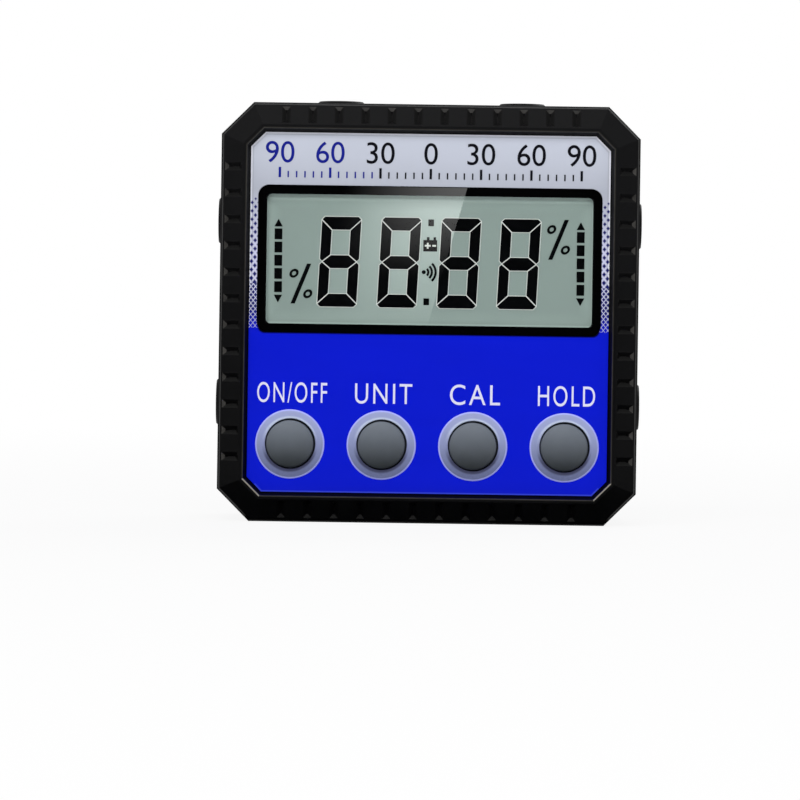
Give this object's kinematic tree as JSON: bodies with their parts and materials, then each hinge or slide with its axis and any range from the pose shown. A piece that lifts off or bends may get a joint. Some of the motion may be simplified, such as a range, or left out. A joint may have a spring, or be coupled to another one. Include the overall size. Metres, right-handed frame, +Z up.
{
  "type": "digital angle gauge",
  "caption": "Pocket angle gauge: octagonal case with a grooved, sloped frame, wide display window, a row of round keys, magnetic base and sliding battery door.",
  "frame": {"origin": "middle of the flat base that the gauge stands on", "axes": "+X to the right as the display is read, +Y from the face to the back, +Z up"},
  "size_m": [0.0564, 0.026, 0.0557],
  "materials": {
    "black_plastic": "fine moulded texture",
    "face_sheet": "printed sheet, silver fading to blue",
    "clear_window": "clear moulded window",
    "display_glass": "grey-green display",
    "dark_plastic": "matte",
    "contact_rubber": "matte",
    "board": "green solder mask",
    "chip_plastic": "moulded",
    "small_ceramic": "matte",
    "key_plastic": "satin",
    "pale_plastic": "smooth",
    "cell_sleeve": "plain sleeve",
    "plated_steel": "nickel plated",
    "dark_steel": "black zinc",
    "nickel": "nickel plated"
  },
  "bodies": {
    "case": {"front_case": "black_plastic", "rear_cover": "black_plastic", "face_overlay": "face_sheet", "display_window": "clear_window", "lcd_panel": "display_glass", "lcd_holder": "dark_plastic", "contact_strip": "contact_rubber", "main_board": "board", "controller_chip": "chip_plastic", "tilt_sensor": "chip_plastic", "chip_components": "small_ceramic", "buzzer": "dark_plastic", "switch_bodies": "dark_plastic", "battery_cell_upper": "cell_sleeve", "battery_cell_lower": "cell_sleeve", "negative_contact": "plated_steel", "positive_contact": "plated_steel", "bridge_contact": "plated_steel", "case_screws": "dark_steel", "board_screws": "dark_steel", "base_magnets": "nickel"},
    "power_button": {"power_key": "key_plastic", "power_plunger": "pale_plastic"},
    "unit_button": {"unit_key": "key_plastic", "unit_plunger": "pale_plastic"},
    "calibrate_button": {"calibrate_key": "key_plastic", "calibrate_plunger": "pale_plastic"},
    "hold_button": {"hold_key": "key_plastic", "hold_plunger": "pale_plastic"},
    "door": {"battery_door": "black_plastic"}
  },
  "joints": [
    {"name": "power_press", "type": "slide", "parent": "case", "child": "power_button", "axis": [0, 1, 0], "range_m": [0, 0.0005], "stiffness_N_per_m": 1500},
    {"name": "unit_press", "type": "slide", "parent": "case", "child": "unit_button", "axis": [0, 1, 0], "range_m": [0, 0.0005], "stiffness_N_per_m": 1500},
    {"name": "calibrate_press", "type": "slide", "parent": "case", "child": "calibrate_button", "axis": [0, 1, 0], "range_m": [0, 0.0005], "stiffness_N_per_m": 1500},
    {"name": "hold_press", "type": "slide", "parent": "case", "child": "hold_button", "axis": [0, 1, 0], "range_m": [0, 0.0005], "stiffness_N_per_m": 1500},
    {"name": "door_slide", "type": "slide", "parent": "case", "child": "door", "axis": [1, 0, 0], "range_m": [0, 0.054]}
  ]
}
